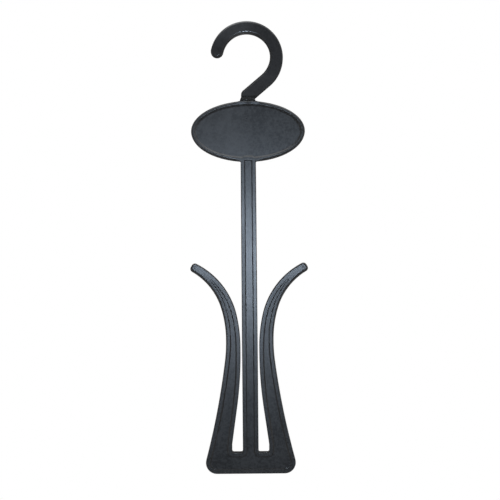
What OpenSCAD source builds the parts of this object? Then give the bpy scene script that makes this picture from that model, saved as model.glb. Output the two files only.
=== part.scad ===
// Moulded plastic hanger that shows one pair of sandals or slippers on a rail.
// It has two pieces: a body with two sprung arms, and a hook that snaps into the body and swivels.
// The straps are pushed down between the stem and the arms, past the narrow throats, to the slots.
// +Z is up, the front looks along -Y, and the origin is the centre of the hook's eye.

/* [Hook] */
// Inner radius of the eye, which lies on the rail
eye_r = 16.8; // [15:0.1:22]
// Width of the bar that the hook is bent from, seen from the front
bar_w = 9; // [7:0.1:11]
// Thickness of the bar, front to back
bar_t = 6.4; // [5:0.1:7]
// Rounding of the bar's long edges
bar_round = 1.2; // [0.5:0.1:1.8]
// Where the eye ends in its tip, in degrees anticlockwise from the right
tip_at = 167.5; // [150:0.5:190]
// Where the eye runs out into the straight bar, in degrees below the right
straight_at = 50; // [40:1:60]
// How far the eye's centre lies to the left of the swivel axis
eye_shift = 0.6; // [0:0.1:3]
// Height of the neck, from the bend in the bar down to the foot of the collar
neck_h = 3.3; // [3:0.1:8]
// Height of the flared collar
collar_h = 2.4; // [1.5:0.1:3]
// Width of the collar's foot
collar_w = 12; // [11.5:0.1:16]
// Depth of the collar's foot, front to back
collar_t = 7.2; // [7:0.1:9]

/* [Swivel] */
// Radius of the shank that turns in the body
shank_r = 1.9; // [1.6:0.05:2.1]
// Radius of the snap head's shoulder
head_r = 2.4; // [2.3:0.05:2.6]
// Radius of the snap head's lower end
head_tip_r = 1.3; // [1:0.05:1.5]
// Height of the snap head
head_h = 3; // [2:0.1:4]
// Width of the slit that lets the head close up on its way in
slit_w = 0.7; // [0.5:0.05:1]
// How far the slit runs up into the shank
slit_rise = 4; // [2:0.1:6]
// Length of the bore that holds the shank
bore_h = 7; // [5:0.1:10]
// Wall of the boss round the bore
boss_wall = 1.8; // [1.2:0.1:1.85]
// Running clearance between the shank and its bore, on the radius
shank_gap = 0.05; // [0.03:0.01:0.09]
// Play between the collar and the body
collar_gap = 0.3; // [0.2:0.05:0.6]
// Play under the bore, and between the head and its pocket
head_gap = 0.25; // [0.1:0.05:0.4]

/* [Body] */
// Thickness of the body, front to back
body_t = 8; // [7.6:0.1:10]
// Height of the body, from the top of the oval plate to the bottom edge
body_h = 263.7; // [240:0.1:300]
// Thickness of the web that closes every recess
web_t = 2; // [1.2:0.1:2.6]
// Depth of the front recess in the stem, the arms and the base
recess_d = 0.8; // [0.6:0.1:2]

/* [Oval plate] */
// Width of the oval plate
oval_w = 80.6; // [60:0.1:100]
// Height of the oval plate
oval_h = 42.7; // [34:0.1:56]
// Width of the plate's raised rim
oval_rim = 2.6; // [1.6:0.1:4]
// Depth of the plate's front recess
oval_recess_d = 0.7; // [0.4:0.1:0.8]
// Width of the flat seat under the collar
seat_w = 13; // [12:0.1:18]

/* [Stem] */
// Width of the stem at the oval plate
stem_top_w = 10.8; // [9:0.1:14]
// Width of the stem between the slots
stem_low_w = 11.1; // [9:0.1:14]
// Width of the raised edges of the stem
stem_rim = 2.9; // [2:0.1:3.5]

/* [Arms] */
// Narrowest gap between the stem and an arm
throat = 1.15; // [0.8:0.05:3]
// Height of the throat's lower end above the bottom edge
throat_h = 85.4; // [70:0.1:100]
// Height of the throat itself, where the gap stays the same
throat_len = 3.7; // [1:0.1:10]
// Width of an arm at its narrowest
arm_w = 10.15; // [8:0.05:14]
// Height above the throat's lower end where the arm's outer edge stands upright
arm_rise = 8.1; // [2:0.1:12]
// Length of that upright stretch
arm_upright = 1.3; // [0.5:0.1:6]
// Radius of the inner edge just above the throat
mouth_r = 105; // [80:1:140]
// Lean of the inner edge where its tighter bend starts
mouth_lean = 12.7; // [8:0.1:18]
// Radius of the inner edge's tighter bend
mouth_bend_r = 54.4; // [45:0.1:70]
// Lean of the inner edge at the tip
mouth_end_lean = 62.1; // [50:0.5:66]
// Radius of the outer edge just above its narrowest place
back_r = 77.3; // [60:0.1:110]
// Lean of the outer edge where its tighter bend starts
back_lean = 16.8; // [10:0.1:22]
// Radius of the outer edge's tighter bend
back_bend_r = 45.2; // [38:0.1:56]
// Lean of the outer edge at the tip
back_end_lean = 59; // [48:0.1:64]
// Width of the raised edge towards the stem
arm_in_rim = 3; // [1.6:0.1:3.2]
// Width of the raised edge away from the stem
arm_out_rim = 3.2; // [1.6:0.1:3.4]
// Lean at which the arm's recess ends, short of the solid tip
recess_end_lean = 44; // [36:0.5:46]

/* [Base] */
// Radius of the inner edge below the throat
slot_r = 279; // [220:1:360]
// Lean of the slot's outer side
slot_lean = 8.1; // [6:0.1:10]
// Height above the slots' floor up to which the slot's outer side is upright
slot_upright = 5; // [4:0.1:9]
// Height of the slots' floor above the bottom edge
slot_floor_h = 15.3; // [12:0.1:20]
// Rounding of the slots' lower corners
slot_round = 1.2; // [0.6:0.1:3]
// Radius of the outer edge just below its narrowest place
hip_r = 108; // [80:1:140]
// Lean of the outer edge where its long sweep starts
hip_lean = 7.3; // [5:0.1:10]
// Radius of the outer edge's long sweep to the corner
skirt_r = 532; // [440:1:900]
// Rounding of the base's corners
corner_r = 7.8; // [5:0.1:9]
// Width of the raised edge under the slots
slot_floor_rim = 3.4; // [2:0.1:4]
// Rounding of the raised edge round the slots
slot_rim_round = 3.8; // [1:0.1:4]

/* [Hidden] */

// A curve is drawn in straight steps that leave it by no more than this
curve_error = 0.04;
oval_points = 96;
// How far a cut runs past a face, and how far a pad stays inside the bar's faces
over = 1;
hair = 0.04;

bar_mid_r = eye_r + bar_w / 2;
// The straight bar's middle line leaves the eye here and meets the swivel axis at the bend
bar_from = bar_mid_r * [cos(straight_at), -sin(straight_at)];
bar_len = (bar_from[0] - eye_shift) / sin(straight_at);
bend = bar_from - bar_len * [sin(straight_at), cos(straight_at)];
collar_z = bend[1] - neck_h;
body_top = collar_z - collar_gap;
body_z = body_top - body_h;

bore_r = shank_r + shank_gap;
boss_r = bore_r + boss_wall;
head_top = body_top - bore_h - head_gap;
pocket_r = head_r + head_gap;
pocket_h = head_h + 3 * head_gap;

front = -body_t / 2;
back = body_t / 2;
web_back = front + recess_d + web_t;
oval_web_back = front + oval_recess_d + web_t;

stem_foot = body_h - oval_h;
stem_top_x = stem_top_w / 2;
stem_low_x = stem_low_w / 2;
in_x = stem_low_x + throat;
out_x = in_x + arm_w;
mouth_h = throat_h + throat_len;
out_h = throat_h + arm_rise;
back_h = out_h + arm_upright;
slot_lean_h = throat_h - slot_r * sin(slot_lean);
slot_lean_x = in_x + slot_r * (1 - cos(slot_lean));
slot_x = slot_lean_x + (slot_lean_h - slot_floor_h - slot_upright) * tan(slot_lean);
hip_h = out_h - hip_r * sin(hip_lean);
corner_lean = asin((hip_h - corner_r + skirt_r * sin(hip_lean)) / (skirt_r + corner_r));

// Each edge of an arm is a chain of arcs: [radius, lean from upright at its end]
mouth = [[mouth_r, mouth_lean], [mouth_bend_r, mouth_end_lean]];
mouth_cut = [[mouth_r, mouth_lean], [mouth_bend_r, recess_end_lean]];
arm_back = [[back_r, back_lean], [back_bend_r, back_end_lean]];
arm_back_cut = [[back_r, back_lean], [back_bend_r, recess_end_lean]];
slot_side = [[slot_r, slot_lean]];
skirt = [[hip_r, hip_lean], [skirt_r, corner_lean]];

function steps(r, angle) = max(2, ceil(abs(angle) / (2 * acos(1 - min(0.5, curve_error / r)))));

// Points on a circle round c, from one angle to another
function arc(c, r, from, to) =
    let (n = steps(r, to - from))
    [for (i = [0 : n]) let (a = from + (to - from) * i / n) c + r * [cos(a), sin(a)]];

// Points on an edge that starts upright at p and bends away from the stem, arc after arc.
// way is 1 for an edge that climbs and -1 for one that falls.
function edge(p, way, arcs, lean = 0, i = 0) =
    i == len(arcs) ? [] :
    let (
        r = arcs[i][0],
        end = arcs[i][1],
        c = p + r * [cos(lean), -way * sin(lean)],
        n = steps(r, end - lean),
        first = i == 0 ? 0 : 1,
        points = [for (k = [first : n]) let (a = lean + (end - lean) * k / n) c + r * [-cos(a), way * sin(a)]]
    )
    concat(points, edge(points[len(points) - 1], way, arcs, end, i + 1));

// The same edge, moved away from the stem by d
function moved(x, h, way, arcs, d) = edge([x + d, h], way, [for (a = arcs) [a[0] - d, a[1]]]);

function reversed(points) = [for (i = [len(points) - 1 : -1 : 0]) points[i]];
function last(points) = points[len(points) - 1];

// The right half of an outline and its mirror image, as one closed outline
function both_sides(half) = concat(half, [for (p = reversed(half)) [-p[0], p[1]]]);

// The base's corner and the outer edge above it, moved inwards by d
function corner_and_skirt(d) =
    let (
        side = moved(out_x, out_h, -1, skirt, -d),
        centre = last(side) - (corner_r - d) * [cos(corner_lean), sin(corner_lean)]
    )
    concat(arc(centre, corner_r - d, -90, corner_lean), reversed(side));

// The inner edge below the throat, moved away from the stem by d, down to where it runs upright
function slot_edge(d) =
    let (
        side = moved(in_x, throat_h, -1, slot_side, d),
        foot = last(side)
    )
    concat(side, [[slot_x + d, foot[1] - (slot_x + d - foot[0]) / tan(slot_lean)]]);

// A half-round end from one point to another, swelling to the right of the line between them
function cap(from, to) =
    let (c = (from + to) / 2, d = from - c, a = atan2(d[1], d[0]))
    arc(c, norm(d), a, a + 180);

function body_half() =
    let (
        outer = moved(out_x, back_h, 1, arm_back, 0),
        inner = moved(in_x, mouth_h, 1, mouth, 0)
    )
    concat(
        corner_and_skirt(0),
        outer,
        cap(last(outer), last(inner)),
        reversed(inner),
        slot_edge(0),
        arc([slot_x - slot_round, slot_floor_h + slot_round], slot_round, 0, -90),
        arc([stem_low_x + slot_round, slot_floor_h + slot_round], slot_round, -90, -180),
        [[stem_low_x, throat_h], [stem_top_x, stem_foot], [stem_top_x, stem_foot + oval_h / 2]]
    );

function recess_half() =
    let (
        floor = slot_floor_h - slot_floor_rim + slot_rim_round,
        stem_x = stem_low_x - stem_rim
    )
    concat(
        corner_and_skirt(arm_out_rim),
        moved(out_x, back_h, 1, arm_back_cut, -arm_out_rim),
        reversed(moved(in_x, mouth_h, 1, mouth_cut, arm_in_rim)),
        slot_edge(arm_in_rim),
        arc([slot_x + arm_in_rim - slot_rim_round, floor], slot_rim_round, 0, -90),
        arc([stem_x + slot_rim_round, floor], slot_rim_round, -90, -180),
        [[stem_x, throat_h], [stem_top_x - stem_rim, stem_foot]]
    );

module oval(rim) {
    polygon([for (i = [0 : oval_points - 1])
        let (a = 360 * i / oval_points)
        [(oval_w / 2 - rim) * cos(a), body_h - oval_h / 2 + (oval_h / 2 - rim) * sin(a)]]);
}

module body_outline() {
    polygon(both_sides(body_half()));
    oval(0);
    translate([-seat_w / 2, body_h - oval_rim])
        square([seat_w, oval_rim]);
}

module recess_outline() {
    polygon(both_sides(recess_half()));
}

// Stands a flat outline up, so that it fills the depth from y0 to y1
module upright(y0, y1) {
    rotate([90, 0, 0])
        translate([0, 0, -y1])
            linear_extrude(y1 - y0) children();
}

module shell() {
    difference() {
        upright(front, back) body_outline();
        upright(web_back, back + over) recess_outline();
        upright(oval_web_back, back + over) oval(oval_rim);
    }
}

module boss() {
    translate([0, 0, body_h - bore_h])
        cylinder(r = boss_r, h = bore_h - oval_rim / 2, $fn = 64);
}

module hanger_body() {
    color("#33383d")
        translate([eye_shift, 0, body_z])
            difference() {
                union() {
                    shell();
                    boss();
                }
                upright(front - over, front + recess_d) recess_outline();
                upright(front - over, front + oval_recess_d) oval(oval_rim);
                translate([0, 0, body_h - bore_h - over])
                    cylinder(r = bore_r, h = bore_h + 2 * over, $fn = 64);
                translate([0, 0, body_h - bore_h - pocket_h])
                    cylinder(r = pocket_r, h = pocket_h, $fn = 64);
            }
}

// The right half of the bar's cross-section, with x across its width and y through its thickness,
// and drawn in by d all round
function section_half(d) =
    let (x = bar_w / 2 - bar_round, y = bar_t / 2 - bar_round)
    concat(arc([x, -y], bar_round - d, -90, 0), arc([x, y], bar_round - d, 0, 90));

module bar_section() {
    polygon(both_sides(section_half(0)));
}

// A round pad with the bar's rounded edges, which ends the bar or fills the outside of its bend.
// It is a hair smaller than the bar, so that it cuts through the bar's faces and never lies on them.
module pad(c) {
    translate([c[0], 0, c[1]])
        rotate([90, 0, 0])
            rotate_extrude($fn = 128)
                polygon(concat([[0, hair - bar_t / 2]], section_half(hair), [[0, bar_t / 2 - hair]]));
}

module eye() {
    rotate([90, 0, 0])
        rotate([0, 0, -straight_at])
            rotate_extrude(angle = tip_at + straight_at, $fn = 128)
                translate([bar_mid_r, 0]) bar_section();
    pad(bar_mid_r * [cos(tip_at), sin(tip_at)]);
}

module straight_bar() {
    translate([bend[0], 0, bend[1]])
        rotate([0, straight_at, 0])
            linear_extrude(bar_len) bar_section();
}

// The bend's round outside, which ends inside the neck
module bend_outside() {
    intersection() {
        pad(bend);
        translate([bend[0] - bar_w, -bar_w, bend[1] - neck_h / 2])
            cube(2 * bar_w);
    }
}

module neck() {
    translate([bend[0], 0, collar_z])
        linear_extrude(neck_h) bar_section();
}

// The collar is a flared block: wide and deep at its foot, the bar's own size at its top
module flare(w, top_w, depth) {
    upright(-depth, depth)
        polygon([[-w / 2, 0], [w / 2, 0], [top_w / 2, collar_h], [-top_w / 2, collar_h]]);
}

module collar() {
    translate([bend[0], 0, collar_z])
        intersection() {
            flare(collar_w, bar_w, collar_w);
            rotate([0, 0, 90]) flare(collar_t, bar_t, collar_w);
        }
}

module shank() {
    translate([bend[0], 0, head_top])
        cylinder(r = shank_r, h = collar_z - head_top + collar_h / 2, $fn = 64);
    translate([bend[0], 0, head_top - head_h])
        cylinder(r1 = head_tip_r, r2 = head_r, h = head_h, $fn = 64);
}

module swivel_hook() {
    color("#2c2d30")
        difference() {
            union() {
                eye();
                straight_bar();
                bend_outside();
                neck();
                collar();
                shank();
            }
            translate([bend[0] - slit_w / 2, -head_r - over, head_top - head_h - over])
                cube([slit_w, 2 * (head_r + over), head_h + slit_rise + over]);
        }
}

hanger_body();
swivel_hook();
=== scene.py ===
# %% [markdown]
# # A moulded sandal hanger
#
# The object is a shop hanger for one pair of sandals. It has two pieces: a flat body with raised edges
# and two sprung arms, and a hook that snaps into the body and swivels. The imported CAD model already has
# both at their real sizes. This lesson replaces the two plain solids with finer meshes that have the
# rounded edges, sloping walls and marks of injection moulding, and gives them a plastic that looks real.

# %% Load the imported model
import math

import bmesh
import bpy
import numpy as np
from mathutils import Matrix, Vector, geometry


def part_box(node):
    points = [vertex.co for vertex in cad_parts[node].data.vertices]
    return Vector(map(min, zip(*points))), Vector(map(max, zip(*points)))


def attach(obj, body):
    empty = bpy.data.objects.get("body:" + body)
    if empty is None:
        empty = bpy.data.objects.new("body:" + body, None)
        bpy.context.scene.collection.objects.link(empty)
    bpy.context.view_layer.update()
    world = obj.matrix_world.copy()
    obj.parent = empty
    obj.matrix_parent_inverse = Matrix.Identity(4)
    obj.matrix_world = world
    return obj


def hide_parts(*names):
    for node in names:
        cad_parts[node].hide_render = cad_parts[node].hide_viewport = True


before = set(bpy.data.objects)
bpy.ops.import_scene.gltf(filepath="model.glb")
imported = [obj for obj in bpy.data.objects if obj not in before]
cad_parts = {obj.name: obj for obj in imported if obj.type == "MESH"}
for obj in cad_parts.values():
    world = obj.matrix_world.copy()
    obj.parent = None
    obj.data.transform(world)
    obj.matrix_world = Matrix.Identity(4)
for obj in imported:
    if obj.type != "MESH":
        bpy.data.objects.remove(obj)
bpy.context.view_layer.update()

MM = 0.001
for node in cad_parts:
    low, high = ([round(v / MM, 2) for v in end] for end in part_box(node))
    print(node, "reaches from", low, "to", high, "mm")

# %% [markdown]
# ## Drawing an outline
#
# Both pieces are flat mouldings, so their whole shape follows from outlines seen from the front. An
# outline could be drawn by hand as many points, but then a change of one radius would mean moving all of
# them. Here it is built as a draughtsman builds it, from arcs and straight lines with real sizes. All
# sizes are in millimetres, and an outline runs anticlockwise, so that the material is on its left. The
# first three values are the longest step on an arc and on a line, and the largest turn in one step. Two
# points that lie closer than the fourth count as one.

# %% Arcs, lines and corners
ARC_STEP = 0.7
LINE_STEP = 5.0
ARC_TURN = 12.0
SAME_POINT = 1e-4


def direction(degrees):
    """The unit vector, or vectors, at this angle from the right."""
    angle = np.radians(degrees)
    return np.stack([np.cos(angle), np.sin(angle)], axis=-1)


def arc(centre, radius, start, end):
    """Points on a circle, from one angle to another, in degrees."""
    length = abs(math.radians(end - start)) * radius
    count = max(2, math.ceil(abs(end - start) / ARC_TURN), math.ceil(length / ARC_STEP))
    return np.array(centre) + radius * direction(np.linspace(start, end, count + 1))


def line(start, end):
    """Points on a straight line, a few millimetres apart."""
    start, end = np.array(start, float), np.array(end, float)
    count = max(1, math.ceil(np.linalg.norm(end - start) / LINE_STEP))
    return start + (end - start) * np.linspace(0, 1, count + 1)[:, None]


def corner(before, at, after, radius):
    """A rounded corner at one point of a path, between the points before and after it."""
    at = np.array(at, float)
    incoming = (at - before) / np.linalg.norm(at - before)
    outgoing = (after - at) / np.linalg.norm(after - at)
    turn = math.atan2(incoming[0] * outgoing[1] - incoming[1] * outgoing[0], incoming @ outgoing)
    side = math.copysign(1, turn)
    start = at - incoming * radius * math.tan(abs(turn) / 2)
    centre = start + side * radius * np.array([-incoming[1], incoming[0]])
    first = math.degrees(math.atan2(*(start - centre)[::-1]))
    return arc(centre, radius, first, first + math.degrees(turn))


def leaning(start, way, arcs):
    """Arcs that leave start upright and lean away from the stem, going up (way 1) or down (way -1).

    Each arc is its radius and its lean from upright, in degrees, at its end."""
    at, lean = np.array(start, float), 0.0
    points = [at[None]]
    for radius, end in arcs:
        centre = at + radius * direction(-way * lean)
        count = max(2, math.ceil(abs(math.radians(end - lean)) * radius / ARC_STEP))
        leans = np.linspace(lean, end, count + 1)[1:]
        points.append(centre - radius * direction(-way * leans))
        at, lean = points[-1][-1], end
    return np.concatenate(points)


def shifted(x, height, way, arcs, out):
    """The same edge moved away from the stem by out: its arcs keep their centres."""
    return leaning((x + out, height), way, [(radius - out, lean) for radius, lean in arcs])


def blunt_end(start, end, reach, first_radius, last_radius):
    """A blunt end with two rounded corners, which reaches to the right of the line from start to end."""
    width = end - start
    out = reach * np.array([width[1], -width[0]]) / np.linalg.norm(width)
    return joined([
        corner(start, start + out, end + out, first_radius),
        corner(start + out, end + out, end, last_radius),
    ])


def joined(pieces):
    """Pieces of a path laid end to end, each point once."""
    points = np.concatenate(pieces)
    apart = np.linalg.norm(np.diff(points, axis=0), axis=1) > SAME_POINT
    return points[np.r_[True, apart]]


# %% [markdown]
# ## From outlines to a solid
#
# A moulded edge is never sharp: it is a small arc, or a sloping wall with soft ends. A bevel modifier
# could round the plain solid, but it can't give one edge a wide rounding here and a narrow one there.
# So each edge is a stack of rings: the outline is drawn in by a little more at each ring, and lies a
# little deeper. Neighbouring rings have the same number of points, so quads join them. What is flat
# between the last rings is filled with triangles that meet the rings' own points.

# %% A solid built up from rings
def drawn_in(loop, distance):
    """A closed loop moved to its left by a distance, which is one number or one for each point."""
    step = np.roll(loop, -1, axis=0) - loop
    step /= np.linalg.norm(step, axis=1)[:, None]
    left = np.column_stack([-step[:, 1], step[:, 0]])
    mitre = left + np.roll(left, 1, axis=0)
    mitre /= (mitre * left).sum(axis=1)[:, None]
    return loop + mitre * np.broadcast_to(distance, len(loop))[:, None]


def inside(points, loops):
    """Which points lie inside an odd number of loops."""
    odd = np.zeros(len(points), bool)
    for loop in loops:
        x0, z0 = loop.T
        x1, z1 = np.roll(loop, -1, axis=0).T
        z = points[:, 1][:, None]
        spans = (z0 <= z) != (z1 <= z)
        with np.errstate(divide="ignore", invalid="ignore"):
            crossing = x0 + (z - z0) / (z1 - z0) * (x1 - x0)
        odd ^= (spans & (points[:, 0][:, None] < crossing)).sum(axis=1) % 2 == 1
    return odd


class Moulding:
    """Collects rings of points and the faces between them, then makes one mesh object of them."""

    def __init__(self, shift):
        self.shift = np.array(shift, float)
        self.points = []
        self.faces = []

    def ring(self, loop, depth):
        """Adds a loop of points at a depth, one number or one for each point. Returns their indices."""
        first = len(self.points)
        depths = np.broadcast_to(depth, len(loop))
        self.points += [(x, y, z) for (x, z), y in zip(loop + self.shift, depths)]
        return np.arange(first, first + len(loop))

    def band(self, one, other):
        """Joins two rings with a strip of quads."""
        after, beyond = np.roll(one, -1), np.roll(other, -1)
        self.faces += [tuple(int(i) for i in quad) for quad in zip(one, after, beyond, other)]

    def stack(self, loop, profile):
        """Rings along a profile of (distance drawn in, depth), joined by strips. Returns the rings."""
        rings = [self.ring(drawn_in(loop, distance), depth) for distance, depth in profile]
        for one, other in zip(rings, rings[1:]):
            self.band(one, other)
        return rings

    def fill(self, rings, spots=()):
        """Fills the flat region between rings. Each spot is a ring of extra points that lies in it."""
        every = [*rings, *spots]
        index = np.concatenate(every)
        flat = np.array(self.points)[index][:, [0, 2]]
        starts = np.cumsum([0] + [len(ring) for ring in every])
        edges = [
            (int(start + i), int(start + (i + 1) % len(ring)))
            for start, ring in zip(starts, every)
            for i in range(len(ring))
        ]
        result = geometry.delaunay_2d_cdt([Vector(p) for p in flat], edges, [], 0, 1e-6, True)
        if not all(result[3]):
            crossings = [tuple(point) for point, origins in zip(result[0], result[3]) if not origins]
            raise ValueError(f"rings cross near {crossings[:4]}")
        corners = np.array([origins[0] for origins in result[3]])
        triangles = corners[np.array([list(face) for face in result[2]])]
        loops = [flat[start : start + len(ring)] for start, ring in zip(starts, rings)]
        kept = triangles[inside(flat[triangles].mean(axis=1), loops)]
        self.faces += [tuple(int(i) for i in index[t]) for t in kept]
        return len(kept)

    def make(self, name):
        """Makes the mesh object, in metres, with its normals facing out."""
        mesh = bpy.data.meshes.new(name)
        mesh.from_pydata((np.array(self.points) * MM).tolist(), [], self.faces)
        made = bpy.data.objects.new(name, mesh)
        bpy.context.scene.collection.objects.link(made)
        work = bmesh.new()
        work.from_mesh(mesh)
        bmesh.ops.remove_doubles(work, verts=work.verts, dist=1e-3 * MM)
        bmesh.ops.recalc_face_normals(work, faces=work.faces)
        open_edges = sum(1 for edge in work.edges if len(edge.link_faces) != 2)
        work.to_mesh(mesh)
        print(f"{name}: {len(work.verts)} points, {len(work.faces)} faces, {open_edges} open edges,",
              f"{work.calc_volume() / MM**3:.0f} mm3")
        work.free()
        return made


# %% [markdown]
# ## Profiles of edges and walls
#
# A profile says how each ring of an edge lies: how far it is drawn in, and how deep. HOLD is the width
# of the narrow strip in the flat face beside each rounding, which the section on shading needs. The
# parting line is the low ridge where the two halves of the mould met. WALL_STEPS is the number of rings
# in each of the two roundings of a recess's wall.

# %% Edge profiles
ROUND_RINGS = 6
HOLD = 0.12
PARTING_RISE, PARTING_HALF, PARTING_HOLD = 0.04, 0.12, 0.3
WALL_STEPS = 4


def rounded_edge(radius, depth, inwards):
    """The profile of a rounded edge, from the side wall to the flat face at depth.

    inwards is 1 where the material lies at greater depths than the face, and -1 at the back."""
    turns = np.linspace(0, math.pi / 2, ROUND_RINGS + 1)
    rounding = [(radius * (1 - math.cos(t)), depth + inwards * radius * (1 - math.sin(t))) for t in turns]
    return [(0, rounding[0][1] + inwards * HOLD), *rounding, (radius + HOLD, depth)]


def side_and_edges(edge, front, back, back_edge):
    """The whole side of a flat moulding: its front edge, the parting line halfway and its back edge."""
    before = [(0, -PARTING_HOLD), (0, -PARTING_HALF)]
    parting = [*before, (-PARTING_RISE, 0), (0, PARTING_HALF), (0, PARTING_HOLD)]
    return rounded_edge(edge, front, 1)[::-1] + parting + rounded_edge(back_edge, back, -1)


def sloping_wall(outward, inward, top, floor, soft=0.5):
    """The profile of a recess's wall. It starts outward of the outline and ends inward of it.

    soft is the share of its width that the rounding takes at each end, and the rest is straight."""
    share = np.unique(np.r_[np.linspace(0, soft, WALL_STEPS), np.linspace(1 - soft, 1, WALL_STEPS)])
    middle = (share - soft / 2) / (1 - soft)
    fall = np.select(
        [share < soft, share > 1 - soft],
        [share**2 / (2 * soft * (1 - soft)), 1 - (1 - share) ** 2 / (2 * soft * (1 - soft))], middle)
    wall = [((outward + inward) * s - outward, top + (floor - top) * f) for s, f in zip(share, fall)]
    return [(-outward - HOLD, top), *wall, (inward + HOLD, floor)]


def creased_wall(outward, inward, top, floor, soft):
    """The same wall without the rounding at its foot, where it meets the floor in a crease."""
    lip, *wall, hold = sloping_wall(outward, inward, top, floor, soft)
    return [lip, *wall[:WALL_STEPS], wall[-1], hold]


def steep_wall(top, floor, foot, lip=0.25, draft=0.08):
    """The profile of a deep wall. lip and foot are the radii of its rounding and of its fillet.

    draft is how far it leans in, so that the moulding leaves its mould."""
    way = math.copysign(1, floor - top)
    quarter = np.linspace(0, math.pi / 2, 5)
    over_lip = [(-lip + lip * math.sin(t), top + way * lip * (1 - math.cos(t))) for t in quarter]
    into_floor = [(draft + foot * (1 - math.cos(t)), floor - way * foot * (1 - math.sin(t))) for t in quarter]
    return [(-lip - HOLD, top), *over_lip, *into_floor, (draft + foot + HOLD, floor)]


# %% [markdown]
# ## The body's outline
#
# One closed line goes round the base, up an arm, round its tip, down its inner edge into the slot, up
# the stem and over the oval plate. Only the right half is drawn, and its mirror image closes it. The
# heights are measured up from the bottom edge. Each stretch also says how wide its front edge is
# rounded, because the real arms have a much softer edge on the side that faces away from the stem.

# %% Sizes of the body
EYE_SHIFT = 0.6
BODY_T, BODY_H = 8.0, 263.7
BODY_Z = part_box("hanger_body")[0].z / MM
FRONT, BACK = -BODY_T / 2, BODY_T / 2
OVAL_W, OVAL_H, OVAL_RIM = 80.6, 42.7, 2.6
OVAL_MID = BODY_H - OVAL_H / 2
OVAL_FOOT = BODY_H - OVAL_H
SEAT_W = 13.0
STEM_TOP_X, STEM_LOW_X, STEM_RIM, STEM_FILLET = 5.4, 5.55, 2.9, 1.0
THROAT, THROAT_H, THROAT_LEN = 1.15, 85.4, 3.7
ARM_W, ARM_RISE, ARM_UPRIGHT = 10.15, 8.1, 1.3
IN_X = STEM_LOW_X + THROAT
OUT_X = IN_X + ARM_W
MOUTH_H = THROAT_H + THROAT_LEN
OUT_H = THROAT_H + ARM_RISE
BACK_H = OUT_H + ARM_UPRIGHT
MOUTH = [(105, 12.7), (54.4, 62.1)]
ARM_BACK = [(77.3, 16.8), (45.2, 59.0)]
TIP_REACH, TIP_BACK_R, TIP_MOUTH_R = 2.85, 2.5, 2.2
ARM_IN_RIM, ARM_OUT_RIM = 3.0, 3.2
SLOT_SIDE = [(279, 8.1)]
SLOT_UPRIGHT, SLOT_FLOOR, SLOT_ROUND, SLOT_BEND_R = 5.6, 14.7, 1.2, 12
SLOT_FLOOR_RIM, SLOT_RIM_ROUND = 2.8, 3.8
HIP = (108, 7.3)
SKIRT_R, CORNER_R = 532, 7.8

hip_h = OUT_H - HIP[0] * math.sin(math.radians(HIP[1]))
corner_lean = math.degrees(
    math.asin((hip_h - CORNER_R + SKIRT_R * math.sin(math.radians(HIP[1]))) / (SKIRT_R + CORNER_R)))
SKIRT = [HIP, (SKIRT_R, corner_lean)]
slot_end = leaning((IN_X, THROAT_H), -1, SLOT_SIDE)[-1]
slot_slope = math.tan(math.radians(SLOT_SIDE[0][1]))
SLOT_X = slot_end[0] + (slot_end[1] - SLOT_FLOOR - SLOT_UPRIGHT) * slot_slope
print(f"The base's corners start at a lean of {corner_lean:.1f} degrees")
print(f"The slots' outer sides run upright {SLOT_X:.2f} mm from the middle")


# %% The body's right half, stretch by stretch
def base_side(out):
    """The base's corner and the outer edge above it, drawn in by -out."""
    side = shifted(OUT_X, OUT_H, -1, SKIRT, out)
    centre = side[-1] - (CORNER_R + out) * direction(corner_lean)
    return joined([arc(centre, CORNER_R + out, -90, corner_lean), side[::-1]])


def slot_side(out):
    """The inner edge from the throat down to where it runs upright, moved away from the stem by out."""
    side = shifted(IN_X, THROAT_H, -1, SLOT_SIDE, out)
    kink = np.array([SLOT_X + out, side[-1][1] - (SLOT_X + out - side[-1][0]) / slot_slope])
    bend = corner(side[-1], kink, kink - [0, 1], SLOT_BEND_R)
    return joined([side, bend])


def ellipse(rim, start, end, count):
    """Points on the oval plate's outline drawn in by rim, from one angle to another, in degrees."""
    angle = np.radians(np.linspace(start, end, count + 1))
    aside = (OVAL_W / 2 - rim) * np.cos(angle)
    return np.column_stack([aside, OVAL_MID + (OVAL_H / 2 - rim) * np.sin(angle)])


def stem_fillet(radius):
    """The fillet between the stem's side and the plate, and the angle where it reaches the plate.

    It tries many places on the plate's edge and takes the one whose circle touches the stem."""
    first, last, tries = -89.5, -60, 3999
    angle = np.linspace(first, last, tries + 1)
    on = ellipse(0, first, last, tries)
    out = np.column_stack([(on[:, 0]) / (OVAL_W / 2) ** 2, (on[:, 1] - OVAL_MID) / (OVAL_H / 2) ** 2])
    out /= np.linalg.norm(out, axis=1)[:, None]
    centres = on + radius * out
    best = int(np.argmin(abs(centres[:, 0] - STEM_TOP_X - radius)))
    end = math.degrees(math.atan2(*(-out[best])[::-1]))
    return arc(centres[best], radius, 180, end), angle[best]


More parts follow.
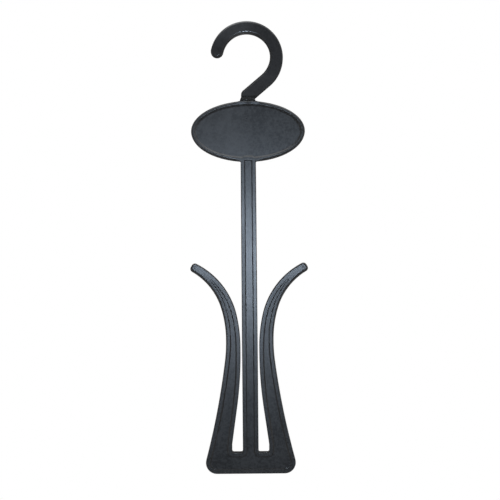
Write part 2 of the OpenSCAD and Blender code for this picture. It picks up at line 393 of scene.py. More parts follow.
arm_back = leaning((OUT_X, BACK_H), 1, ARM_BACK)
mouth = leaning((IN_X, MOUTH_H), 1, MOUTH)
tip = blunt_end(arm_back[-1], mouth[-1], TIP_REACH, TIP_BACK_R, TIP_MOUTH_R)
slot = slot_side(0)
slot_low = SLOT_FLOOR + SLOT_ROUND
fillet, plate_from = stem_fillet(STEM_FILLET)
SEAT_EASE = 0.4
seat_angle = math.degrees(math.acos((SEAT_W / 2 + SEAT_EASE) / (OVAL_W / 2)))
EDGE, SOFT_EDGE, TIP_EDGE, MOUTH_EDGE = 0.5, 1.0, 1.9, 0.8
PLATE_EDGE, SEAT_EDGE, SLOT_EDGE = 1.4, 0.6, 0.2
SEAT_BLEND, BLEND_POINTS, OVAL_POINTS = 8, 10, 96
half = [
    (line((0, 0), (base_side(0)[0][0], 0)), EDGE, EDGE),
    (base_side(0), EDGE, SOFT_EDGE),
    (line((OUT_X, OUT_H), (OUT_X, BACK_H)), SOFT_EDGE, SOFT_EDGE),
    (arm_back, SOFT_EDGE, TIP_EDGE),
    (tip, TIP_EDGE, MOUTH_EDGE),
    (mouth[::-1], MOUTH_EDGE, EDGE),
    (line((IN_X, MOUTH_H), (IN_X, THROAT_H)), EDGE, EDGE),
    (slot, EDGE, EDGE),
    (line(slot[-1], (SLOT_X, slot_low)), EDGE, EDGE),
    (arc((SLOT_X - SLOT_ROUND, slot_low), SLOT_ROUND, 0, -90), EDGE, SLOT_EDGE),
    (arc((STEM_LOW_X + SLOT_ROUND, slot_low), SLOT_ROUND, -90, -180), SLOT_EDGE, EDGE),
    (line((STEM_LOW_X, slot_low), (STEM_LOW_X, THROAT_H)), EDGE, EDGE),
    (line((STEM_LOW_X, THROAT_H), (STEM_TOP_X, fillet[0][1])), EDGE, EDGE),
    (fillet, EDGE, EDGE),
    (ellipse(0, plate_from, plate_from + SEAT_BLEND, BLEND_POINTS), EDGE, PLATE_EDGE),
    (ellipse(0, plate_from + SEAT_BLEND, seat_angle - SEAT_BLEND, OVAL_POINTS), PLATE_EDGE, PLATE_EDGE),
    (ellipse(0, seat_angle - SEAT_BLEND, seat_angle, BLEND_POINTS), PLATE_EDGE, SEAT_EDGE),
    (line((SEAT_W / 2, BODY_H), (0, BODY_H)), SEAT_EDGE, SEAT_EDGE),
]


def points_and_widths(stretches):
    """All points of the stretches, and a width at each, from the stretch's first width to its last."""
    points = np.concatenate([points for points, _, _ in stretches])
    widths = np.concatenate([np.linspace(a, b, len(points)) for points, a, b in stretches])
    return points, widths


def once_each(points, widths, gap):
    """A closed loop without the points that lie within gap of the one before."""
    apart = np.linalg.norm(points - np.roll(points, 1, axis=0), axis=1) > gap
    return points[apart], widths[apart]


def closed(stretches):
    """The right half and its mirror image as one closed loop, with a width at each point."""
    points, widths = points_and_widths(stretches)
    points = np.concatenate([points, points[::-1] * [-1, 1]])
    widths = np.concatenate([widths, widths[::-1]])
    return once_each(points, widths, SAME_POINT)


body_outline, body_edge = closed(half)
print(f"The body's outline has {len(body_outline)} points and is {np.ptp(body_outline[:, 0]):.2f} mm wide")

# %% [markdown]
# ## The recesses
#
# The front is pressed in between the raised edges. One recess runs through the stem, the arms and the
# base, and a shallower one fills the oval plate. Their walls slope, as they must for the part to leave
# its mould, and how widely they slope changes from place to place. At the plate's foot the raised edge
# swells a little above the stem. Nearly the same outlines serve the hidden back, where the hollows are
# deep and their walls steep.

# %% Outlines of the recesses
def eased(share):
    """A share, held between 0 and 1, that starts and ends softly."""
    share = np.clip(share, 0, 1)
    return share**2 * (3 - 2 * share)


RECESS_END_LEAN = 43.0
cut_out = shifted(OUT_X, BACK_H, 1, [ARM_BACK[0], (ARM_BACK[1][0], RECESS_END_LEAN)], -ARM_OUT_RIM)
cut_in = shifted(IN_X, MOUTH_H, 1, MOUTH, ARM_IN_RIM)
opposite = abs((cut_in - cut_out[-1]) @ (cut_out[-1] - cut_out[-2])).argmin()
cut_in = cut_in[: opposite + 1]
END_R, END_SKIP = 0.4, 2
end_out = corner(cut_out[-1 - END_SKIP], cut_out[-1], cut_in[-1], END_R)
end_in = corner(cut_out[-1], cut_in[-1], cut_in[-1 - END_SKIP], END_R)
print("The arm's recess ends between", cut_out[-1].round(2), "and", cut_in[-1].round(2))
recess_low = SLOT_FLOOR - SLOT_FLOOR_RIM + SLOT_RIM_ROUND
slot_x = SLOT_X + ARM_IN_RIM
stem_x = STEM_LOW_X - STEM_RIM
CHANNEL_RISE, CHANNEL_R = 0.6, 0.8
channel_top = np.array([STEM_TOP_X - STEM_RIM, OVAL_FOOT + CHANNEL_RISE])
FOOT_WALL, BASE_WALL, ARM_WALL, STEM_WALL, END_WALL = 0.15, 0.55, 0.4, 0.3, 0.15
FOOT_WALL_H = 14
base_cut = base_side(-ARM_OUT_RIM)
foot_points = int((base_cut[:, 1] < FOOT_WALL_H).sum())
recess_half = [
    (base_cut[:foot_points], FOOT_WALL, BASE_WALL),
    (base_cut[foot_points:], BASE_WALL, ARM_WALL),
    (cut_out[:-END_SKIP], ARM_WALL, END_WALL),
    (end_out, END_WALL, END_WALL),
    (end_in, END_WALL, END_WALL),
    (cut_in[::-1][END_SKIP:], END_WALL, ARM_WALL),
    (slot_side(ARM_IN_RIM), ARM_WALL, BASE_WALL),
    (line(slot_side(ARM_IN_RIM)[-1], (slot_x, recess_low)), BASE_WALL, BASE_WALL),
    (arc((slot_x - SLOT_RIM_ROUND, recess_low), SLOT_RIM_ROUND, 0, -90), BASE_WALL, BASE_WALL),
    (arc((stem_x + SLOT_RIM_ROUND, recess_low), SLOT_RIM_ROUND, -90, -180), BASE_WALL, BASE_WALL),
    (line((stem_x, recess_low), (stem_x, THROAT_H)), STEM_WALL, STEM_WALL),
    (line((stem_x, THROAT_H), channel_top - [0, CHANNEL_R]), STEM_WALL, STEM_WALL),
    (corner(channel_top - [0, 1], channel_top, channel_top - [1, 0], CHANNEL_R), STEM_WALL, STEM_WALL),
]
recess, recess_wall = closed(recess_half)

# %% Outlines of the plate's recess and hollow
SWELL_HALF, SWELL_RISE, SWELL_SLOPE = 2.4, 0.9, 2.0
plate_hollow = ellipse(OVAL_RIM, 0, 360, 220)[:-1]
around, foot = ellipse(OVAL_RIM, -80, 260, 208), ellipse(OVAL_RIM, 260, 280, 72)
plate_recess = np.concatenate([around[:-1], foot[:-1]])
swell = eased((SWELL_HALF + SWELL_SLOPE - abs(plate_recess[:, 0])) / SWELL_SLOPE)
plate_recess[:, 1] += SWELL_RISE * swell * (plate_recess[:, 1] < OVAL_MID)
PLATE_LIP, PLATE_RUN_LOW, PLATE_RUN_TOP = 0.5, 0.5, 1.2
RUN_FROM, RUN_TO = -15, 12
climb = eased((plate_recess[:, 1] - OVAL_MID - RUN_FROM) / (RUN_TO - RUN_FROM))
plate_run = PLATE_RUN_LOW + (PLATE_RUN_TOP - PLATE_RUN_LOW) * climb
print(f"The plate's wall is {plate_run.min():.2f} mm wide at its foot, {plate_run.max():.2f} mm at its top")

# %% [markdown]
# ## The body
#
# The outline's rings make the front edge, the side with its faint parting line, and the back edge. The
# recesses' rings make the walls. Fills close what is flat: the raised edges and the floors, in front
# and behind. Shallow round steps stand for the dimple at each arm's tip and, behind, for the marks of
# the pins that push a moulding out of its mould. They are rings too, so nothing has to be cut.

# %% Build the body's shell
RECESS_D, PLATE_D, WEB_T = 0.8, 0.7, 2.0
BACK_EDGE, PLATE_SOFT, HOLLOW_FOOT = 0.4, 0.12, 0.5
SINK_STEPS = ((0, 0), (0.3, 0.2), (0.8, 0.8), (1.2, 1))
shell = Moulding((EYE_SHIFT, BODY_Z))
outer = shell.stack(body_outline, side_and_edges(body_edge, FRONT, BACK, BACK_EDGE))


def sink(spot, radius, depth, change):
    """A shallow round step in a flat face. Returns its outer ring, for the fill of that face."""
    lip = min(abs(change), radius / 3)
    slope = [(lip * run, depth + change * fall) for run, fall in SINK_STEPS]
    profile = [(-HOLD, depth), *slope, (slope[-1][0] + HOLD, depth + change)]
    rings = shell.stack(arc(spot, radius, 0, 360)[:-1], profile)
    shell.fill([rings[-1]])
    return rings[0]


GATE_R, GATE_DEPTH, GATE_ACROSS = 0.6, 0.05, 0.4
PIN_DEPTH, STEM_PIN_R, BASE_PIN_R, PLATE_PIN_R = 0.15, 1.3, 2.2, 2.6
STEM_PIN_H, BASE_PIN_H, BASE_PIN_X = (206, 158, 110, 62, 26), 7.4, (-24, -12, 0, 12, 24)
PLATE_PINS = ((-27, 0), (27, 0), (-13, -9), (13, -9), (-14, 10), (14, 10))
stem_pins = [((0, height), STEM_PIN_R) for height in STEM_PIN_H]
base_pins = [((x, BASE_PIN_H), BASE_PIN_R) for x in BASE_PIN_X]
plate_pins = [((x, OVAL_MID + z), PLATE_PIN_R) for x, z in PLATE_PINS]
tip_spot = (1 - GATE_ACROSS) * mouth[-1] + GATE_ACROSS * arm_back[-1]
gates = [sink(tip_spot * [way, 1], GATE_R, FRONT, GATE_DEPTH) for way in (-1, 1)]
front_rims, back_rims = [outer[0], *gates], [outer[-1]]
stem_floor, plate_floor = FRONT + RECESS_D, FRONT + PLATE_D
stem_wall = sloping_wall(recess_wall, recess_wall, FRONT, stem_floor)
plate_wall = creased_wall(PLATE_LIP, plate_run, FRONT, plate_floor, PLATE_SOFT)
for in_front, wall, behind, foot, floor, marks in (
    (recess, stem_wall, recess, recess_wall, stem_floor, stem_pins + base_pins),
    (plate_recess, plate_wall, plate_hollow, HOLLOW_FOOT, plate_floor, plate_pins),
):
    walls = shell.stack(in_front, wall)
    hollow = shell.stack(behind, steep_wall(BACK, floor + WEB_T, foot))
    front_rims.append(walls[0])
    back_rims.append(hollow[0])
    pins = [sink(spot, radius, floor + WEB_T, -PIN_DEPTH) for spot, radius in marks]
    print("Floor and hollow:", shell.fill([walls[-1]]), shell.fill([hollow[-1], *pins]), "triangles")
print("Raised edges in front and behind:", shell.fill(front_rims), shell.fill(back_rims), "triangles")

# %% [markdown]
# ## Bends of the front
#
# A moulding that has cooled is never quite flat, and on glossy black a slope of two degrees already
# changes how bright a face looks. The real hanger's arms turn outwards a little below their tips, the
# stem's left edge falls away, and beside the collar the plate's edge dips into the recess. A noise could
# bend the front as well, but not in these places. So the front's points are sunk by small smooth amounts.

# %% Sink the front a little in three places
ARM_SINK, STEM_SINK, SEAT_SINK = 0.26, 0.13, 0.15
SEAT_FLAT, SEAT_LIP = 0.75, 1.98
ARM_STRETCH = (60, 118), (128, 145)
STEM_STRETCH = (75, 105), (165, 188)
SEAT_STRETCH = (1, 3), (6, 9)
IN_FRONT = -1.0


def within(value, stretch):
    """1 between the two parts of a stretch, 0 outside them, and smooth over each part."""
    (low, full), (ebb, high) = stretch
    return eased((value - low) / (full - low)) * (1 - eased((value - ebb) / (high - ebb)))


def across_arm(aside, height):
    """How far across an arm a point lies: 0 at the inner edge, 1 at the outer one."""
    near = joined([slot[::-1], mouth])
    far = joined([base_side(0), arm_back])
    near, far = (np.interp(height, edge[:, 1], edge[:, 0]) for edge in (near, far))
    return np.clip((aside - near) / (far - near), 0, 1)


point_x, depth, point_z = np.array(shell.points).T
side, height = point_x - EYE_SHIFT, point_z - BODY_Z
aside = abs(side)
turn = across_arm(aside, height)
arm_sink = ARM_SINK * (0.75 * turn + 0.25 * turn**2) * within(height, ARM_STRETCH)
on_stem = (aside < STEM_LOW_X + 0.5) * within(height, STEM_STRETCH)
stem_sink = STEM_SINK * np.clip((-side - stem_x) / STEM_RIM, 0, 1) * on_stem
off_edge = (1 - np.hypot(side / (OVAL_W / 2), (height - OVAL_MID) / (OVAL_H / 2))) * OVAL_H / 2
beside_collar = within(aside, SEAT_STRETCH) * (height > OVAL_MID + OVAL_H / 4)
on_lip = np.clip((off_edge - SEAT_FLAT) / (SEAT_LIP - SEAT_FLAT), 0, 1)
above_floor = np.clip((plate_floor - depth) / PLATE_D, 0, 1)
seat_sink = SEAT_SINK * on_lip * above_floor * beside_collar
depth += (arm_sink + stem_sink + seat_sink) * (depth < IN_FRONT)
shell.points = list(zip(point_x, depth, point_z))
print(f"The front sinks by up to {arm_sink.max():.2f} mm on the arms, {stem_sink.max():.2f} mm on the stem")
body = shell.make("hanger_moulding")

# %% [markdown]
# ## The socket for the hook
#
# Behind the plate the hook's shank turns in a bore through a round boss, and its snap head sits in a
# wider pocket below. These are round things that meet the flat moulding at right angles, where rings
# don't help. Boolean modifiers join the boss to the shell and cut the bore and the pocket. A cut runs
# PAST a face by a millimetre, because a boolean of two faces in one plane is unsure.

# %% Join the boss and cut the bore
TOP_Z = BODY_Z + BODY_H
BORE_H, BORE_R, BOSS_R = 7.0, 1.95, 3.75
POCKET_R, POCKET_H = 2.65, 3.75
PAST = 1.0
ROUND_POINTS = 64


def turned(name, profile, front=-10.0):
    """A solid turned about the swivel axis, from (radius, height) pairs that run upwards.

    It is cut flat where it would reach further forward than front."""
    work = bmesh.new()
    around = direction(np.linspace(0, 360, ROUND_POINTS, endpoint=False))
    rings = []
    for radius, height in profile:
        spots = [(EYE_SHIFT + radius * x, max(radius * y, front), height) for x, y in around]
        rings.append([work.verts.new(Vector(spot) * MM) for spot in spots])
    for low, high in zip(rings, rings[1:]):
        for i in range(ROUND_POINTS):
            j = (i + 1) % ROUND_POINTS
            work.faces.new((low[i], low[j], high[j], high[i]))
    work.faces.new(rings[0][::-1])
    work.faces.new(rings[-1])
    mesh = bpy.data.meshes.new(name)
    work.to_mesh(mesh)
    work.free()
    made = bpy.data.objects.new(name, mesh)
    bpy.context.scene.collection.objects.link(made)
    return made


def combine(piece, tool, operation):
    """Applies a boolean with another solid, which is then removed."""
    modifier = piece.modifiers.new(operation.lower(), "BOOLEAN")
    modifier.operation, modifier.object, modifier.solver = operation, tool, "EXACT"
    ready = piece.evaluated_get(bpy.context.evaluated_depsgraph_get())
    mesh = bpy.data.meshes.new_from_object(ready)
    piece.modifiers.clear()
    old, piece.data = piece.data, mesh
    bpy.data.meshes.remove(old)
    bpy.data.objects.remove(tool)


bore_foot = TOP_Z - BORE_H
boss_front = FRONT + PLATE_D + WEB_T / 2
boss = turned("boss", [(BOSS_R, bore_foot), (BOSS_R, TOP_Z - OVAL_RIM / 2)], boss_front)
bore = turned("bore", [(BORE_R, bore_foot - PAST), (BORE_R, TOP_Z + PAST)])
pocket = turned("pocket", [(POCKET_R, bore_foot - POCKET_H), (POCKET_R, bore_foot)])
combine(body, boss, "UNION")
combine(body, bore, "DIFFERENCE")
combine(body, pocket, "DIFFERENCE")
print("With its socket the body has", len(body.data.polygons), "faces")

# %% [markdown]
# ## The hook
#
# The hook has the form of a bent flat bar with well rounded edges, wider on its slanting part than
# round the eye. It could be a section swept along a path, but its inner and outer edges don't run
# parallel, and the neck has a sharp corner on its right and a soft one on its left. So it is a flat
# moulding as well, drawn by its outline, and only the collar is pulled wider towards the front and the
# back. Its straight sides lie on lines that touch the eye's circles where the slant begins, and the two
# corners are where those lines meet the neck's upright sides.

# %% The hook's outline
EYE_OUT = 25.8
EYE_IN, EYE_IN_LOW = 16.9, 16.1
BAR_T, OUTER_ROUND, INNER_ROUND = 6.4, 1.3, 1.8
TIP_AT, TIP_R = 167.5, (EYE_OUT - EYE_IN) / 2
SLANT_AT = -50.0
WIDENS_FROM = 30
SHARP_R, BEND_R, FLARE_R = 0.5, 4.0, 1.5
NECK_LEFT, NECK_RIGHT = -4.1, 5.35
COLLAR_W, COLLAR_T, COLLAR_GAP = 11.0, 7.2, 0.3
COLLAR_H, COLLAR_RIM_H = 2.5, 0.5
FOOT_EDGE, NECK_EDGE = 0.2, 0.8
EYE_POINTS, SAME_HOOK_POINT = 240, 1e-3
FOOT_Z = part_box("hanger_body")[1].z / MM + COLLAR_GAP
RIM_Z = FOOT_Z + COLLAR_RIM_H
FLARE_TOP = FOOT_Z + COLLAR_H


def eye_inside(degrees):
    """The eye's inner radius, which shrinks where the bar grows wider towards the slant."""
    share = eased((WIDENS_FROM - degrees) / (WIDENS_FROM - SLANT_AT))
    return EYE_IN + (EYE_IN_LOW - EYE_IN) * share


def meeting(radius, x):
    """Where the slant's side, which touches the eye's circle of this radius, meets the upright at x."""
    return np.array([x, (slant_way[0] * x - radius) / -slant_way[1]])


slant_way = direction(SLANT_AT)
slant_down = np.array([slant_way[1], -slant_way[0]])
sharp_corner = meeting(EYE_OUT, NECK_RIGHT)
soft_corner = meeting(EYE_IN_LOW, NECK_LEFT)
foot_left, foot_right = EYE_SHIFT - COLLAR_W / 2, EYE_SHIFT + COLLAR_W / 2
angles = np.linspace(TIP_AT, SLANT_AT, EYE_POINTS)
tip_mid = (EYE_OUT - TIP_R) * direction(TIP_AT)
flare_left = np.array([NECK_LEFT, FLARE_TOP])
flare_foot = np.array([foot_left, RIM_Z])
up_slant = sharp_corner - 5 * slant_down
hook_path = [
    (line((foot_left, FOOT_Z), (foot_right, FOOT_Z)), FOOT_EDGE, FOOT_EDGE),
    (line((foot_right, FOOT_Z), (foot_right, RIM_Z)), FOOT_EDGE, FOOT_EDGE),
    (corner((foot_right, RIM_Z), sharp_corner, up_slant, SHARP_R), NECK_EDGE, NECK_EDGE),
    (arc((0, 0), EYE_OUT, SLANT_AT, TIP_AT), OUTER_ROUND, OUTER_ROUND),
    (arc(tip_mid, TIP_R, TIP_AT, TIP_AT + 180), OUTER_ROUND, INNER_ROUND),
    (eye_inside(angles)[:, None] * direction(angles), INNER_ROUND, INNER_ROUND),
    (corner(EYE_IN_LOW * slant_way, soft_corner, flare_left, BEND_R), INNER_ROUND, OUTER_ROUND),
    (corner(soft_corner, flare_left, flare_foot, FLARE_R), NECK_EDGE, NECK_EDGE),
    (line(flare_foot, (foot_left, FOOT_Z)), FOOT_EDGE, FOOT_EDGE),
]
hook_outline, hook_edge = once_each(*points_and_widths(hook_path), SAME_HOOK_POINT)
print(f"The hook's outline has {len(hook_outline)} points")

# %% [markdown]
# ## The hook's collar, shank and snap head
#
# The collar's faces need points of their own before they can be pulled wider, so rows of them are laid
# into the flat fill there. The shank and the snap head are turned solids, joined with a boolean, and a
# thin box cuts the slit that lets the head close up when it is pressed in.

# %% Build the hook's moulding
FACE_ROWS, FACE_COLUMNS, FACE_INSET = 9, 12, 1.3
ABOVE_RIM, ABOVE_FLARE = 0.3, 0.2
COLLAR_FULL_H = 0.3
bar = Moulding((0, 0))
front, back = -BAR_T / 2, BAR_T / 2
outer = bar.stack(hook_outline, side_and_edges(hook_edge, front, back, hook_edge))
face_rows = []
for z in np.linspace(RIM_Z + ABOVE_RIM, FLARE_TOP + ABOVE_FLARE, FACE_ROWS):
    left = np.interp(z, [RIM_Z, FLARE_TOP], [foot_left, NECK_LEFT]) + FACE_INSET
    right = np.interp(z, [RIM_Z, sharp_corner[1]], [foot_right, NECK_RIGHT]) - FACE_INSET
    face_rows.append(np.column_stack([np.linspace(left, right, FACE_COLUMNS), np.full(FACE_COLUMNS, z)]))
for rim, depth in ((outer[0], front), (outer[-1], back)):
    spots = [bar.ring(points, depth) for points in face_rows]
    print("Face of the hook:", bar.fill([rim], spots), "triangles")
for i, (x, y, z) in enumerate(bar.points):
    share = min(max((FLARE_TOP - z) / (FLARE_TOP - FOOT_Z - COLLAR_FULL_H), 0), 1)
    bar.points[i] = (x, y * (1 + (COLLAR_T / BAR_T - 1) * share), z)
hook = bar.make("hook_moulding")

# %% Add the shank and the slit snap head
SHANK_R, HEAD_R, HEAD_TIP_R, HEAD_H, HEAD_GAP = 1.9, 2.4, 1.3, 3.0, 0.25
HEAD_BAND, SHOULDER = 0.2, 0.05
SLIT_W, SLIT_RISE = 0.7, 4.0
head_top = TOP_Z - BORE_H - HEAD_GAP
shank = [
    (HEAD_TIP_R, head_top - HEAD_H), (HEAD_R, head_top - HEAD_BAND), (HEAD_R, head_top),
    (SHANK_R, head_top + SHOULDER), (SHANK_R, FOOT_Z + PAST),
]
combine(hook, turned("shank", shank), "UNION")
bpy.ops.mesh.primitive_cube_add(size=1)
slit = bpy.context.object
slit.scale = Vector((SLIT_W, 2 * HEAD_R + 2 * PAST, HEAD_H + SLIT_RISE + PAST)) * MM
slit.location = Vector((EYE_SHIFT, 0, head_top + (SLIT_RISE - HEAD_H - PAST) / 2)) * MM
combine(hook, slit, "DIFFERENCE")
print("With its shank the hook has", len(hook.data.polygons), "faces")

# %% [markdown]
# ## Shading the edges
#
# Smooth shading blends the normals across every edge, which would smear the large flat faces. The
# Weighted Normal modifier could mend that, but on uneven triangles it makes highlights ragged. Here each
# profile already has a holding ring: a narrow strip that lies in the flat face beside the rounding. It
# takes up the blend, so the flat keeps its own direction. Only edges that turn by more than a set angle
# are marked sharp, and so is the crease where the plate's wall meets its floor.

# %% Smooth the strips and keep the flats
SHARP, CREASE = math.radians(38), math.radians(10)


def crease(mesh, depth):
    """Marks as sharp the edges where a wall meets the floor at this depth."""
    work = bmesh.new()
    work.from_mesh(mesh)
    for edge in work.edges:
        on_floor = all(abs(vert.co.y / MM - depth) < 1e-3 for vert in edge.verts)
        if on_floor and edge.calc_face_angle(0) > CREASE:
            edge.smooth = False
    work.to_mesh(mesh)
    work.free()


for piece in (body, hook):
    piece.data.polygons.foreach_set("use_smooth", [True] * len(piece.data.polygons))
    piece.data.set_sharp_from_angle(angle=SHARP)
    if piece is body:
        crease(piece.data, plate_floor)
    sharp = piece.data.attributes.get("sharp_edge")
    print(piece.name, "has", sum(value.value for value in sharp.data) if sharp else 0, "sharp edges")

# %% [markdown]
# ## A small language for shaders
#
# A material is a net of nodes, and building it call by call hides what it says. This class wraps an
# output, so that ordinary arithmetic on values adds the Math nodes. Every other node comes from its one
# method node(), which takes the node's type, its settings and the values or links of its sockets.

# %% Shader sockets that work like numbers
class Wire:
    """An output of a shader node, or a tree with no output chosen yet."""

    def __init__(self, tree, socket=None):
        self.tree = tree
        self.socket = socket

    def node(self, kind, inputs, output=0, **settings):
        """Adds a node: first its settings, then its sockets. Returns one of its outputs."""
        made = self.tree.nodes.new("ShaderNode" + kind)
        for name, value in settings.items():
            setattr(made, name, value)
        for name, value in inputs.items():
            if isinstance(value, Wire):
                self.tree.links.new(value.socket, made.inputs[name])
            else:
                made.inputs[name].default_value = value
        return Wire(self.tree, made.outputs[output] if len(made.outputs) else None)

    def maths(self, operation, one, other=0.0):
        """One Math node on two values."""
        return self.node("Math", {0: one, 1: other}, operation=operation)

    def __add__(self, other):
        return self.maths("ADD", self, other)

    def __radd__(self, other):
        return self.maths("ADD", other, self)

    def __sub__(self, other):
        return self.maths("SUBTRACT", self, other)

    def __rsub__(self, other):
        return self.maths("SUBTRACT", other, self)

    def __mul__(self, other):
        return self.maths("MULTIPLY", self, other)

    def __rmul__(self, other):
        return self.maths("MULTIPLY", other, self)

    def __abs__(self):
        return self.maths("ABSOLUTE", self)

    def noise(self, where, scale, detail, roughness):
        """Cloudy noise, from 0 to 1, whose clouds are about 1 / scale metres wide."""
        inputs = {"Vector": where, "Scale": scale, "Detail": detail, "Roughness": roughness}
        return self.node("TexNoise", inputs, "Fac")

    def between(self, low, high):
        """0 where the value is below low, 1 where it is above high, and smooth between."""
        inputs = {"Value": self, "From Min": low, "From Max": high}
        return self.node("MapRange", inputs, interpolation_type="SMOOTHSTEP")

    def blend(self, one, other):
        """A colour between two, by this value."""
        return self.node("Mix", {0: self, 6: one, 7: other}, 2, data_type="RGBA")


def new_material(name):
    """An empty material, and the Wire that adds nodes to it."""
    material = bpy.data.materials.new(name)
    material.use_nodes = True
    material.node_tree.nodes.clear()
    return material, Wire(material.node_tree)


# %% [markdown]
# ## Black polypropylene
#
# Both pieces are black polypropylene, which is never an even black. The melt leaves cloudy flow marks,
# a pale bloom comes out in specks, the mould's polish shows as a fine grain, and handling adds small
# scuffs. A single colour with one roughness would look like paint. Here noises of several sizes change
# the colour and raise and lower the surface, and the clouds and scuffs change the roughness too.
#
# Each piece also has marks of its own: places with another tint, found by their position. They are
# painted light and shade. On the body they are a painted sheen at the left of the plate and a painted
# shade along the plate's upper wall. On the hook they are a painted sheen on its top, which also gets a
# glossy coat, a fainter painted sheen on the slant and a painted shade on the collar.
#
# Faces that look sideways are made much rougher, so that the side lamps don't mirror in them. Steep
# faces get a painted shade as well, most of all near the base, where they look darkest.

# %% The marks of each piece
WALL_IN = 3.0
# Painted sheen and painted shade of the plate: a paler patch and a near-black line along its upper wall.
PAINTED_PLATE_SHEEN, PAINTED_WALL_SHADE = (0.035, 0.037, 0.041, 1), (0.003, 0.003, 0.003, 1)
# Painted sheen on the hook's top and slant, and painted shade on its collar.
PAINTED_TOP_SHEEN, PAINTED_SLANT_SHEEN, PAINTED_COLLAR_SHADE = (0.036, 0.039, 0.043, 1), (0.036, 0.037, 0.038, 1), (0.006, 0.006, 0.006, 1)


def plate_marks(x, z):
    """The plate's painted sheen and painted shade, each a mask and a tint, and the body's polish, of which it
    has none.
    """
    # Painted sheen: a paler patch at the left of the plate, where its sheen is brighter.
    painted_plate_sheen = (x * -1).between(-0.006, 0.010) * z.between(-0.080, -0.066) * 0.6
    across = (x - EYE_SHIFT * MM) * (1 / MM / (OVAL_W / 2 - WALL_IN))
    up = (z - (BODY_Z + OVAL_MID) * MM) * (1 / MM / (OVAL_H / 2 - WALL_IN))
    off_wall = abs(across * across + up * up - 1)
    # Painted shade: a near-black line along the plate's upper wall, which looks dark there.
    wall = (1 - off_wall.between(0.03, 0.10)) * (up + across * 0.2).between(0.0, 0.35)
    return [(painted_plate_sheen, PAINTED_PLATE_SHEEN), (wall, PAINTED_WALL_SHADE)], 0.0


def hook_marks(x, z):
    """The hook's painted sheen and painted shade, each a mask and a tint, and how much glossy coat each place
    gets.
    """
    # Painted sheen: the top of the eye is paler at its left. The same place also gets a glossy coat.
    top_sheen_and_gloss = z.between(0.004, 0.022) * (x * -1).between(-0.012, 0.006)
    # Painted sheen: the slant is a little paler.
    slant = (z * -1).between(0.004, 0.014)
    # Painted shade: the collar is nearly black.
    collar = (z * -1).between(0.0262, 0.0282)
    return [(top_sheen_and_gloss, PAINTED_TOP_SHEEN), (slant * 0.4, PAINTED_SLANT_SHEEN), (collar, PAINTED_COLLAR_SHADE)], top_sheen_and_gloss * z.between(0.008, 0.017)


# %% The plastic
SIDE_ROUGHER = 0.65
CLOUD_ROUGH, SCUFF_ROUGH, COAT_ROUGH = 0.05, 0.08, 0.16
# The colour of the painted shade on steep faces.
PAINTED_STEEP_SHADE = (0.002, 0.002, 0.0025, 1)
POLYPROPYLENE_IOR = 1.49


def plastic(name, marks, dark, pale, bloom, rough, wave, grain, specular):
    """A satin black plastic. wave and grain are the heights of its slow waves and its fine grain, in mm."""
    material, tree = new_material(name)
    place = tree.node("TexCoord", {}, "Object")
    clouds = tree.noise(place, 55, 4.0, 0.6)
    waves = tree.noise(place, 230, 3.0, 0.55)
    flecks = tree.noise(place, 420, 3.0, 0.6)
    fine = tree.noise(place, 2600, 2.0, 0.5)
    specks = tree.noise(place, 750, 3.0, 0.6)
    tone = (clouds * 0.25 + waves * 0.25 + flecks * 0.25 + specks * 0.25).between(0.4, 0.6)
    colour = tone.blend(dark, pale)
    scuffs = tree.noise(place, 900, 5.0, 0.7).between(0.62, 0.74)
    colour = (scuffs * 0.35).blend(colour, pale)
    x, z = (tree.node("SeparateXYZ", {0: place}, axis) for axis in "XZ")
    tinted, polish = marks(x, z)
    # The marks' tints are painted sheen and painted shade.
    for mask, tint in tinted:
        colour = (mask * (tone * 0.8 + 0.6)).blend(colour, tint)
    colour = (specks.between(0.42, 0.6) * 0.5).blend(colour, bloom)
    facing = tree.node("SeparateXYZ", {0: tree.node("TexCoord", {}, "Normal")}, "Y")
    sides = 1 - (facing * facing).between(0.05, 0.4)
    # Painted shade: steep faces are darkened, most of all near the base.
    steep = 1 - (facing * facing).between(0.45, 0.9)
    low_down = (z * -1).between(0.19, 0.24)
    colour = (steep * (low_down * 0.5 + 0.45)).blend(colour, PAINTED_STEEP_SHADE)
    roughness = (clouds - 0.5) * CLOUD_ROUGH + rough + scuffs * SCUFF_ROUGH + sides * SIDE_ROUGHER
    height = waves * wave + flecks * (wave * 0.5) + specks * (wave * 0.4) + fine * grain
    bump = tree.node("Bump", {"Height": height, "Strength": 1.0, "Distance": MM})
    shader = tree.node("BsdfPrincipled", {
        "Base Color": colour,
        "Roughness": roughness,
        "Normal": bump,
        "IOR": POLYPROPYLENE_IOR,
        "Specular IOR Level": specular,
        "Coat Weight": polish,
        "Coat Roughness": COAT_ROUGH,
    })
    tree.node("OutputMaterial", {"Surface": shader})
    print(name, "has", len(material.node_tree.nodes), "nodes")
    return material


body_plastic = plastic(
    "satin_black", plate_marks,
    dark=(0.007, 0.0077, 0.0087, 1), pale=(0.021, 0.0225, 0.025, 1), bloom=(0.032, 0.034, 0.037, 1),
    rough=0.285, wave=0.025, grain=0.006, specular=0.5,
)
hook_plastic = plastic(
    "smooth_black", hook_marks,
    dark=(0.016, 0.0165, 0.018, 1), pale=(0.024, 0.025, 0.027, 1), bloom=(0.024, 0.025, 0.027, 1),
    rough=0.23, wave=0.005, grain=0.002, specular=0.32,
)

# %% Dress the pieces
for piece, node, body_name, material, slot_name in (
    (body, "hanger_body", "hanger", body_plastic, "body_plastic"),
    (hook, "swivel_hook", "hook", hook_plastic, "hook_plastic"),
):
    piece.data.materials.clear()
    piece.data.materials.append(material)
    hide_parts(node)
    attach(piece, body_name)

# %% [markdown]
# ## Camera
#
# The photograph looks straight at the front from a little under a metre, with the object a touch
# rotated in the frame. The camera stands on the frame's middle, and its field of view is worked out
# from the width that the frame covers at the object.

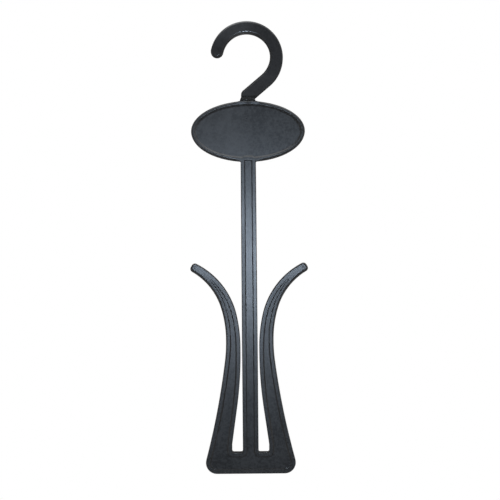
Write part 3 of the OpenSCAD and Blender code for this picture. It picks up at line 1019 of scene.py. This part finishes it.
# %% The camera
FRAME_WIDTH, FRAME_PLANE = 354.3, 2.0
CAMERA_DISTANCE = 800.0
AIM_X, AIM_Z = 1.3, -136.4
ROLL = 0.504

lens = bpy.data.cameras.new("camera")
lens.sensor_width = 36
lens.lens = lens.sensor_width * (CAMERA_DISTANCE - FRAME_PLANE) / FRAME_WIDTH
lens.clip_start, lens.clip_end = 0.01, 50
camera = bpy.data.objects.new("camera", lens)
camera.location = Vector((AIM_X, -CAMERA_DISTANCE, AIM_Z)) * MM
camera.rotation_euler = (math.radians(90), math.radians(ROLL), 0)
bpy.context.scene.collection.objects.link(camera)
bpy.context.scene.camera = camera
print(f"The lens is {lens.lens:.1f} mm long")

# %% [markdown]
# ## Light and stage
#
# The hanger floats on plain white. A small bluish lamp close beside the camera gives the broad sheen
# down the middle of the stem. A large one overhead picks out the upper edges, and a weak one at each
# side keeps the side walls from going black. The world gives the white behind the object and some fill.
# What mirrors in the plastic is a dimmer world, darkest behind the camera and brightest at the upper
# right, because plain white all round would turn the black to grey. The floor lies well below and stays
# out of the main view.

# %% Lamps
def lamp(name, place, aim, size, power, colour):
    """A square soft lamp at a place, aimed at a point, all in metres."""
    data = bpy.data.lights.new(name, "AREA")
    data.shape, data.size, data.energy, data.color = "SQUARE", size, power, colour
    made = bpy.data.objects.new(name, data)
    made.location = place
    made.rotation_euler = (Vector(aim) - Vector(place)).to_track_quat("-Z", "Y").to_euler()
    bpy.context.scene.collection.objects.link(made)
    return made


middle = Vector((0, 0, AIM_Z)) * MM
lamp("front_lamp", (0.0, -0.82, -0.150), middle, 0.08, 1.53, (0.68, 0.82, 1.0))
lamp("top_lamp", (0.05, -0.5, 0.8), middle, 1.0, 6.0, (0.95, 0.98, 1.0))
lamp("left_lamp", (-0.8, -0.4, -0.45), middle, 0.8, 1.3, (1.0, 0.98, 0.95))
lamp("right_lamp", (0.8, -0.4, -0.45), middle, 0.8, 1.3, (1.0, 0.98, 0.95))

# %% The world
world = bpy.data.worlds.new("studio")
world.use_nodes = True
world.node_tree.nodes.clear()
sky = Wire(world.node_tree)
RAYS = "Is Camera Ray", "Is Glossy Ray", "Is Transmission Ray"
FILL, MIRROR_BASE, MIRROR_LEFT, MIRROR_RIGHT, MIRROR_BELOW = 0.4, 0.12, 0.3, 0.55, 0.25


def background(strength):
    """A white background of this strength."""
    return sky.node("Background", {"Color": (1, 1, 1, 1), "Strength": strength})


ray = {name: sky.node("LightPath", {}, name) for name in RAYS}
way = sky.node("TexCoord", {}, "Generated")
off_camera = sky.node("SeparateXYZ", {0: way}, "Y").between(-0.95, -0.6)
above = sky.node("SeparateXYZ", {0: way}, "Z").between(-0.26, 0.2)
right = sky.node("SeparateXYZ", {0: way}, "X").between(-0.9, 0.5)
below = (sky.node("SeparateXYZ", {0: way}, "Z") * -1).between(0.3, 0.8)
mirrored = sky.maths("MAXIMUM", ray["Is Glossy Ray"], ray["Is Transmission Ray"])
mirror_light = off_camera * above * (right * MIRROR_RIGHT + MIRROR_LEFT) + below * MIRROR_BELOW + MIRROR_BASE
unseen = sky.node("MixShader", {0: mirrored, 1: background(FILL), 2: background(mirror_light)})
seen = sky.node("MixShader", {0: ray["Is Camera Ray"], 1: unseen, 2: background(1.0)})
sky.node("OutputWorld", {"Surface": seen})
bpy.context.scene.world = world
print("The world has", len(world.node_tree.nodes), "nodes")

# %% The floor
FLOOR_Z, FLOOR_SIZE, FLOOR_GLOW = -0.9, 0.9, 0.35
bpy.ops.mesh.primitive_grid_add(
    x_subdivisions=8, y_subdivisions=8, size=FLOOR_SIZE, location=(0, 0, FLOOR_Z))
floor = bpy.context.object
floor.name = "floor"
material, tree = new_material("floor_white")
glow = tree.node("LightPath", {}, "Is Camera Ray") * FLOOR_GLOW
shader = tree.node("BsdfPrincipled", {
    "Base Color": (0.85, 0.85, 0.85, 1), "Roughness": 0.9,
    "Emission Color": (1, 1, 1, 1), "Emission Strength": glow,
})
tree.node("OutputMaterial", {"Surface": shader})
floor.data.materials.append(material)

# %% [markdown]
# ## Finish
#
# The colours are shown as they are written. The CAD model's two solids stay in the scene, hidden, so that
# the dressed model can be compared with them.

# %% Show the colours as they are written
bpy.context.scene.view_settings.view_transform = "Standard"
